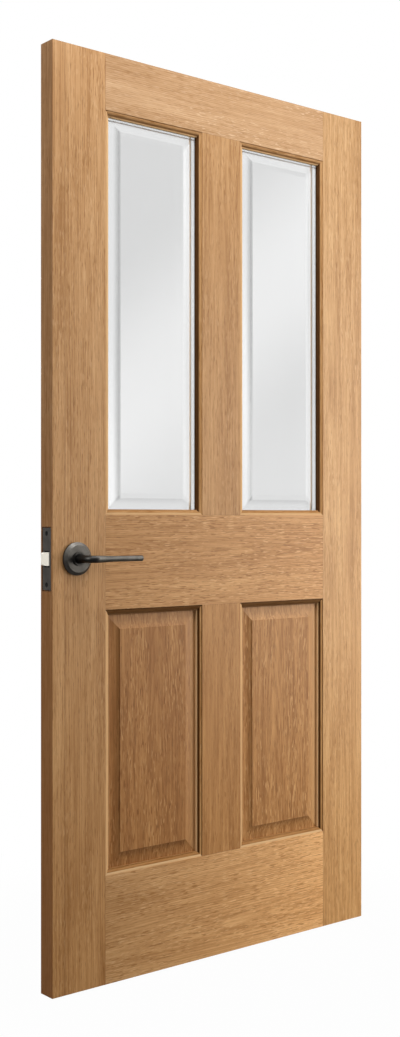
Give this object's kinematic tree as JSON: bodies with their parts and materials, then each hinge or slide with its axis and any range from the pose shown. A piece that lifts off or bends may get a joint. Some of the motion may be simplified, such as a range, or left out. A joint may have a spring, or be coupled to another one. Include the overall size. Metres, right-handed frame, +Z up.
{
  "type": "glazed interior door",
  "caption": "Oak interior door leaf with bevelled glass above raised panels, moulded beads, dark lever handles on round roses and a sprung latch.",
  "frame": {"origin": "the foot of the hinge edge, at the middle of the leaf's thickness", "axes": "+X out of the hinge edge, so that the leaf runs to -X; -Y out of the front face; +Z up"},
  "size_m": [0.922, 0.1634, 1.981],
  "materials": {
    "oak_frame": "lacquered oak, satin",
    "oak_panels": "lacquered oak, satin",
    "oak_beads": "lacquered oak, satin",
    "clear_glass": "clear, bevelled",
    "spacer_aluminium": "mill",
    "dark_handle_metal": "dark bronze, satin",
    "dark_latch_plate": "dark bronze, satin",
    "plain_steel": "zinc plated",
    "cream_nylon": "moulded nylon"
  },
  "bodies": {
    "leaf": {"back_rose": "dark_handle_metal", "bottom_rail": "oak_frame", "front_rose": "dark_handle_metal", "hinge_stile": "oak_frame", "latch_case": "plain_steel", "latch_plate": "dark_latch_plate", "left_glass_back_pane": "clear_glass", "left_glass_back_rail_beads": "oak_beads", "left_glass_back_stile_beads": "oak_beads", "left_glass_front_pane": "clear_glass", "left_glass_front_rail_beads": "oak_beads", "left_glass_front_stile_beads": "oak_beads", "left_glass_spacer": "spacer_aluminium", "left_panel": "oak_panels", "left_panel_back_rail_beads": "oak_beads", "left_panel_back_stile_beads": "oak_beads", "left_panel_front_rail_beads": "oak_beads", "left_panel_front_stile_beads": "oak_beads", "lock_rail": "oak_frame", "lock_stile": "oak_frame", "lower_muntin": "oak_frame", "right_glass_back_pane": "clear_glass", "right_glass_back_rail_beads": "oak_beads", "right_glass_back_stile_beads": "oak_beads", "right_glass_front_pane": "clear_glass", "right_glass_front_rail_beads": "oak_beads", "right_glass_front_stile_beads": "oak_beads", "right_glass_spacer": "spacer_aluminium", "right_panel": "oak_panels", "right_panel_back_rail_beads": "oak_beads", "right_panel_back_stile_beads": "oak_beads", "right_panel_front_rail_beads": "oak_beads", "right_panel_front_stile_beads": "oak_beads", "top_rail": "oak_frame", "upper_muntin": "oak_frame"},
    "handle": {"front_lever": "dark_handle_metal", "back_lever": "dark_handle_metal", "spindle": "plain_steel"},
    "latch": {"latch_bolt": "cream_nylon"}
  },
  "joints": [
    {"name": "lever_turn", "type": "hinge", "parent": "leaf", "child": "handle", "pos_m": [-0.855, 0, 0.907], "axis": [0, 1, 0], "range_deg": [0, 40], "stiffness_Nm_per_rad": 1.2, "springref_deg": -34.38},
    {"name": "latch_slide", "type": "slide", "parent": "leaf", "child": "latch", "axis": [1, 0, 0], "range_m": [0, 0.007]}
  ],
  "couplings": [
    {"joint": "latch_slide", "follows": "lever_turn", "m_per_rad": 0.010026}
  ]
}
